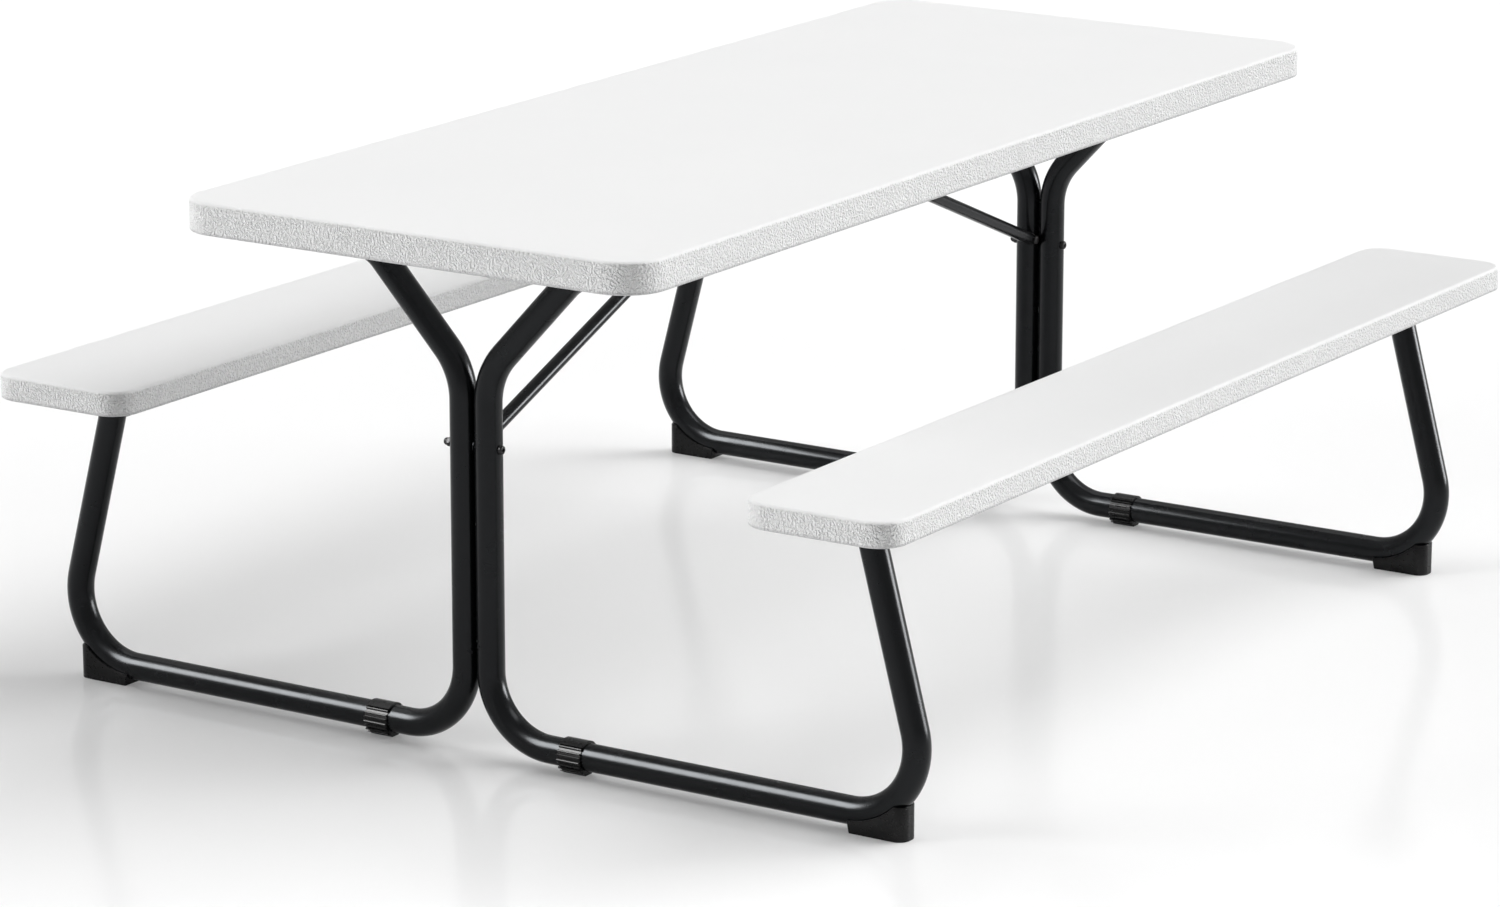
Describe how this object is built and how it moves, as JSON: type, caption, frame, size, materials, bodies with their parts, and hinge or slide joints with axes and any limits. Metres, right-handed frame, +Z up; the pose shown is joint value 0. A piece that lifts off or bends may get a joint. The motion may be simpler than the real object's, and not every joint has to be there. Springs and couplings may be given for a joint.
{
  "type": "folding cafeteria table with benches",
  "caption": "White moulded cafeteria table with attached benches on black bent-tube end frames that fold flat together, braced to the underside of the top.",
  "frame": {"origin": "on the floor, under the middle of the table", "axes": "+X along the table towards the far end, +Y towards the left bench, +Z up"},
  "size_m": [1.829, 1.452, 0.749],
  "materials": {
    "white_plastic": "satin top, pebble-grained rim",
    "frame_paint": "black powder coat, satin",
    "black_plastic": "moulded, matte",
    "black_steel": "black oxide"
  },
  "bodies": {
    "top": {"tabletop": "white_plastic", "brace_guide": "frame_paint", "near_left_hinge_block": "black_plastic", "near_right_hinge_block": "black_plastic", "far_left_hinge_block": "black_plastic", "far_right_hinge_block": "black_plastic"},
    "near_frame": {"near_left_frame_tube": "frame_paint", "near_right_frame_tube": "frame_paint", "near_left_foot": "black_plastic", "near_right_foot": "black_plastic", "near_left_floor_pad": "black_plastic", "near_right_floor_pad": "black_plastic", "near_left_stub_plug": "black_plastic", "near_right_stub_plug": "black_plastic", "near_left_leg_plug": "black_plastic", "near_right_leg_plug": "black_plastic", "near_column_bolt": "black_steel", "near_cap_nut": "black_steel", "near_brace_lug": "frame_paint"},
    "far_frame": {"far_left_frame_tube": "frame_paint", "far_right_frame_tube": "frame_paint", "far_left_foot": "black_plastic", "far_right_foot": "black_plastic", "far_left_floor_pad": "black_plastic", "far_right_floor_pad": "black_plastic", "far_left_stub_plug": "black_plastic", "far_right_stub_plug": "black_plastic", "far_left_leg_plug": "black_plastic", "far_right_leg_plug": "black_plastic", "far_column_bolt": "black_steel", "far_cap_nut": "black_steel", "far_brace_lug": "frame_paint"},
    "left_bench": {"left_bench_seat": "white_plastic", "near_left_bench_bracket": "frame_paint", "far_left_bench_bracket": "frame_paint", "near_left_bench_pin": "black_steel", "far_left_bench_pin": "black_steel"},
    "right_bench": {"right_bench_seat": "white_plastic", "near_right_bench_bracket": "frame_paint", "far_right_bench_bracket": "frame_paint", "near_right_bench_pin": "black_steel", "far_right_bench_pin": "black_steel"},
    "near_brace": {"near_brace_rod": "frame_paint", "near_brace_pin": "black_steel", "near_guide_pin": "black_steel"},
    "far_brace": {"far_brace_rod": "frame_paint", "far_brace_pin": "black_steel", "far_guide_pin": "black_steel"}
  },
  "joints": [
    {"name": "near_fold", "type": "hinge", "parent": "top", "child": "near_frame", "pos_m": [-0.747, 0, 0.6822], "axis": [0, -1, 0], "range_deg": [0, 90]},
    {"name": "far_fold", "type": "hinge", "parent": "top", "child": "far_frame", "pos_m": [0.747, 0, 0.6822], "axis": [0, -1, 0], "range_deg": [0, 90]},
    {"name": "left_bench_pivot", "type": "hinge", "parent": "near_frame", "child": "left_bench", "pos_m": [-0.747, 0.6165, 0.3962], "axis": [0, -1, 0], "range_deg": [-90, 0]},
    {"name": "right_bench_pivot", "type": "hinge", "parent": "near_frame", "child": "right_bench", "pos_m": [-0.747, -0.6165, 0.3962], "axis": [0, -1, 0], "range_deg": [-90, 0]},
    {"name": "near_brace_pivot", "type": "hinge", "parent": "near_frame", "child": "near_brace", "pos_m": [-0.7162, 0, 0.4375], "axis": [0, -1, 0], "range_deg": [-112.2, 0]},
    {"name": "far_brace_pivot", "type": "hinge", "parent": "far_frame", "child": "far_brace", "pos_m": [0.7162, 0, 0.4375], "axis": [0, -1, 0], "range_deg": [-72.8, 0]}
  ],
  "couplings": [
    {"joint": "far_fold", "follows": "near_fold", "ratio": 1},
    {"joint": "left_bench_pivot", "follows": "near_fold", "ratio": -1},
    {"joint": "right_bench_pivot", "follows": "near_fold", "ratio": -1},
    {"joint": "near_brace_pivot", "follows": "near_fold", "ratio": -1.2456},
    {"joint": "far_brace_pivot", "follows": "near_fold", "ratio": -0.80799}
  ]
}
